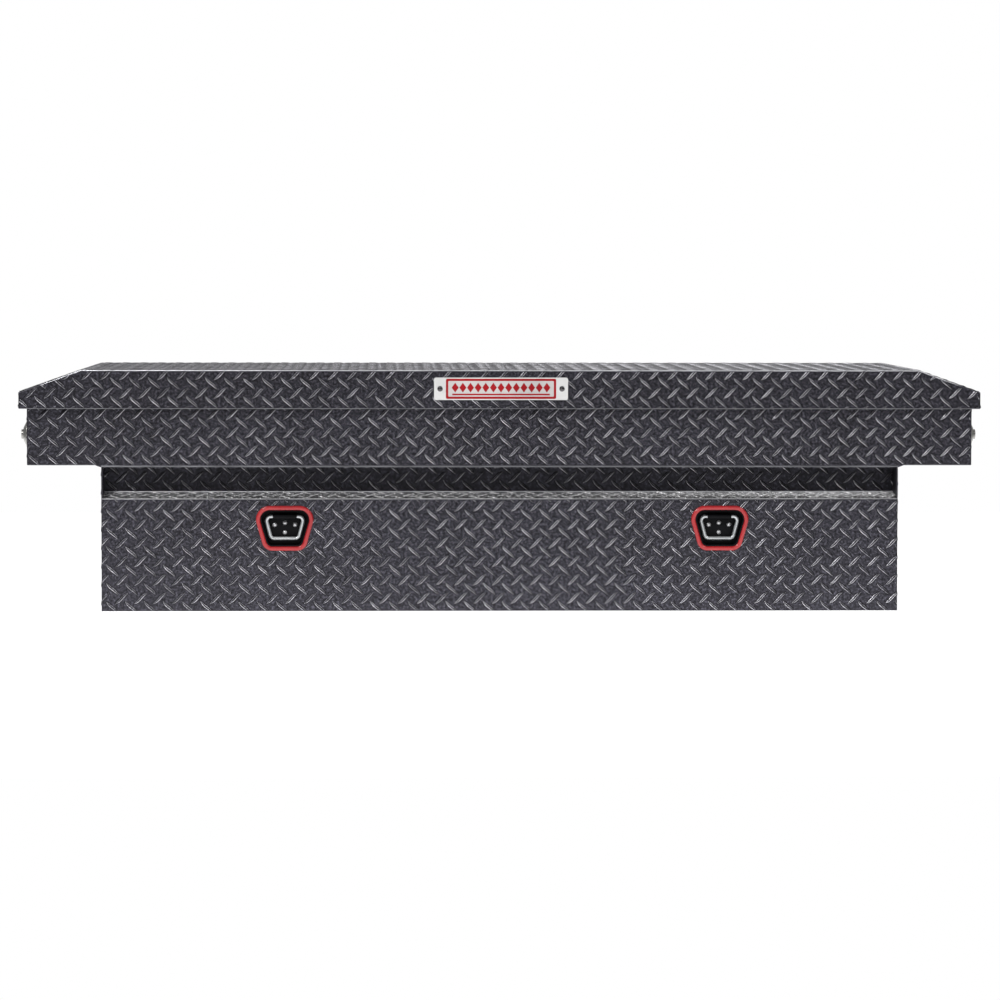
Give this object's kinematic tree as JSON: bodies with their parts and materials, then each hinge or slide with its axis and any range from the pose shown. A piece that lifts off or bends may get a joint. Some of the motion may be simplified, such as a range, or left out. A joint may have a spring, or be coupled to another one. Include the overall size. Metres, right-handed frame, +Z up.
{
  "type": "truck tool box",
  "caption": "Low-profile cross-bed truck tool box in dark tread plate: hinged lid on gas springs, push-button end latches and recessed tie-down rings in the narrow lower bin.",
  "frame": {"origin": "centre of the underside of the bin floor", "axes": "+X along the box's length, towards the end on the right of a viewer facing the front; +Y from the front to the hinge side; +Z up"},
  "size_m": [1.818, 0.519, 0.4563],
  "materials": {
    "gunmetal_plate": "dark gunmetal coated tread plate",
    "inner_sheet": "mill finish",
    "seal_rubber": "matte black",
    "hinge_steel": "brushed stainless",
    "pin_steel": "drawn steel",
    "rivet_aluminium": "plain aluminium",
    "zinc_steel": "bright zinc plated",
    "link_steel": "drawn and zinc plated",
    "guide_plastic": "black nylon",
    "lock_chrome": "bright chrome",
    "button_chrome": "satin chrome",
    "tube_black": "satin black",
    "rod_chrome": "polished",
    "bezel_red": "coral red, semi-gloss",
    "pan_black": "satin black",
    "ring_chrome": "bright chrome",
    "clip_rivet_steel": "light grey",
    "nameplate_silver": "silver-white face with a dark red printed border",
    "nameplate_rivet_black": "dark"
  },
  "bodies": {
    "box": {"front_panel": "gunmetal_plate", "rear_panel": "gunmetal_plate", "floor_panel": "inner_sheet", "left_end_panel": "gunmetal_plate", "right_end_panel": "gunmetal_plate", "weather_seal": "seal_rubber", "hinge_leaf_body": "hinge_steel", "hinge_pin": "pin_steel", "hinge_rivets_body": "rivet_aluminium", "left_latch_bracket": "zinc_steel", "right_latch_bracket": "zinc_steel", "left_latch_pivot_pin": "pin_steel", "right_latch_pivot_pin": "pin_steel", "left_lock_housing": "lock_chrome", "right_lock_housing": "lock_chrome", "left_lock_nut": "zinc_steel", "right_lock_nut": "zinc_steel", "left_strut_body_bracket": "zinc_steel", "right_strut_body_bracket": "zinc_steel", "left_tiedown_pan": "pan_black", "right_tiedown_pan": "pan_black", "left_tiedown_bezel": "bezel_red", "right_tiedown_bezel": "bezel_red", "left_tiedown_clip": "pan_black", "right_tiedown_clip": "pan_black", "left_tiedown_backing_plate": "zinc_steel", "right_tiedown_backing_plate": "zinc_steel", "left_tiedown_fasteners": "clip_rivet_steel", "right_tiedown_fasteners": "clip_rivet_steel", "crank_bracket": "zinc_steel", "link_rod_guides": "guide_plastic"},
    "lid": {"lid_skin": "gunmetal_plate", "lid_inner_panel": "inner_sheet", "lid_stiffener_front": "inner_sheet", "lid_stiffener_rear": "inner_sheet", "nameplate": "nameplate_silver", "nameplate_rivets": "nameplate_rivet_black", "left_striker": "zinc_steel", "right_striker": "zinc_steel", "left_strut_lid_bracket": "zinc_steel", "right_strut_lid_bracket": "zinc_steel", "hinge_leaf_lid": "hinge_steel", "hinge_rivets_lid": "rivet_aluminium"},
    "left_cylinder": {"left_gas_cylinder": "tube_black"},
    "left_rod": {"left_gas_rod": "rod_chrome"},
    "left_button": {"left_push_button": "button_chrome"},
    "left_plug": {"left_lock_plug": "lock_chrome"},
    "left_hook": {"left_latch_hook": "zinc_steel"},
    "left_link": {"left_link_rod": "link_steel"},
    "left_ring": {"left_tiedown_ring": "ring_chrome"},
    "right_cylinder": {"right_gas_cylinder": "tube_black"},
    "right_rod": {"right_gas_rod": "rod_chrome"},
    "right_button": {"right_push_button": "button_chrome"},
    "right_plug": {"right_lock_plug": "lock_chrome"},
    "right_hook": {"right_latch_hook": "zinc_steel"},
    "right_link": {"right_link_rod": "link_steel"},
    "right_ring": {"right_tiedown_ring": "ring_chrome"},
    "crank": {"release_crank": "zinc_steel"}
  },
  "joints": [
    {"name": "lid_hinge", "type": "hinge", "parent": "box", "child": "lid", "pos_m": [0, 0.251, 0.3794], "axis": [-1, 0, 0], "range_deg": [0, 65]},
    {"name": "left_cylinder_pivot", "type": "hinge", "parent": "box", "child": "left_cylinder", "pos_m": [-0.735, 0.2304, 0.249], "axis": [-1, 0, 0], "range_deg": [0, 33]},
    {"name": "left_rod_slide", "type": "slide", "parent": "left_cylinder", "child": "left_rod", "axis": [0, -0.5881, 0.8088], "range_m": [0, 0.072]},
    {"name": "left_button_slide", "type": "slide", "parent": "box", "child": "left_button", "axis": [1, 0, 0], "range_m": [0, 0.006], "stiffness_N_per_m": 600, "springref_m": -0.01},
    {"name": "left_lock_turn", "type": "hinge", "parent": "left_button", "child": "left_plug", "pos_m": [-0.905, -0.1875, 0.3328], "axis": [1, 0, 0], "range_deg": [0, 90]},
    {"name": "left_hook_pivot", "type": "hinge", "parent": "box", "child": "left_hook", "pos_m": [-0.85, -0.1875, 0.352], "axis": [0, -1, 0], "range_deg": [0, 18]},
    {"name": "left_link_slide", "type": "slide", "parent": "box", "child": "left_link", "axis": [1, 0, 0], "range_m": [0, 0.0099]},
    {"name": "left_ring_swing", "type": "hinge", "parent": "box", "child": "left_ring", "pos_m": [-0.4082, -0.232, 0.1785], "axis": [-1, 0, 0], "range_deg": [0, 110]},
    {"name": "right_cylinder_pivot", "type": "hinge", "parent": "box", "child": "right_cylinder", "pos_m": [0.735, 0.2304, 0.249], "axis": [-1, 0, 0], "range_deg": [0, 33]},
    {"name": "right_rod_slide", "type": "slide", "parent": "right_cylinder", "child": "right_rod", "axis": [0, -0.5881, 0.8088], "range_m": [0, 0.072]},
    {"name": "right_button_slide", "type": "slide", "parent": "box", "child": "right_button", "axis": [-1, 0, 0], "range_m": [0, 0.0061]},
    {"name": "right_lock_turn", "type": "hinge", "parent": "right_button", "child": "right_plug", "pos_m": [0.905, -0.1875, 0.3328], "axis": [-1, 0, 0], "range_deg": [0, 90]},
    {"name": "right_hook_pivot", "type": "hinge", "parent": "box", "child": "right_hook", "pos_m": [0.85, -0.1875, 0.352], "axis": [0, 1, 0], "range_deg": [0, 18]},
    {"name": "right_link_slide", "type": "slide", "parent": "box", "child": "right_link", "axis": [-1, 0, 0], "range_m": [0, 0.0099]},
    {"name": "right_ring_swing", "type": "hinge", "parent": "box", "child": "right_ring", "pos_m": [0.4158, -0.232, 0.1785], "axis": [-1, 0, 0], "range_deg": [0, 110]},
    {"name": "crank_pivot", "type": "hinge", "parent": "box", "child": "crank", "pos_m": [0, -0.1875, 0.325], "axis": [0, -1, 0], "range_deg": [0, 18]}
  ],
  "couplings": [
    {"joint": "left_cylinder_pivot", "follows": "lid_hinge", "ratio": 0.5},
    {"joint": "left_rod_slide", "follows": "lid_hinge", "m_per_rad": 0.06258},
    {"joint": "left_hook_pivot", "follows": "left_button_slide", "rad_per_m": 52.08},
    {"joint": "left_link_slide", "follows": "left_button_slide", "ratio": 1.64},
    {"joint": "right_cylinder_pivot", "follows": "lid_hinge", "ratio": 0.5},
    {"joint": "right_rod_slide", "follows": "lid_hinge", "m_per_rad": 0.06258},
    {"joint": "right_hook_pivot", "follows": "left_button_slide", "rad_per_m": 52.08},
    {"joint": "right_link_slide", "follows": "left_button_slide", "ratio": 1.64},
    {"joint": "right_button_slide", "follows": "left_button_slide", "ratio": 1},
    {"joint": "crank_pivot", "follows": "left_button_slide", "rad_per_m": 52.08}
  ]
}
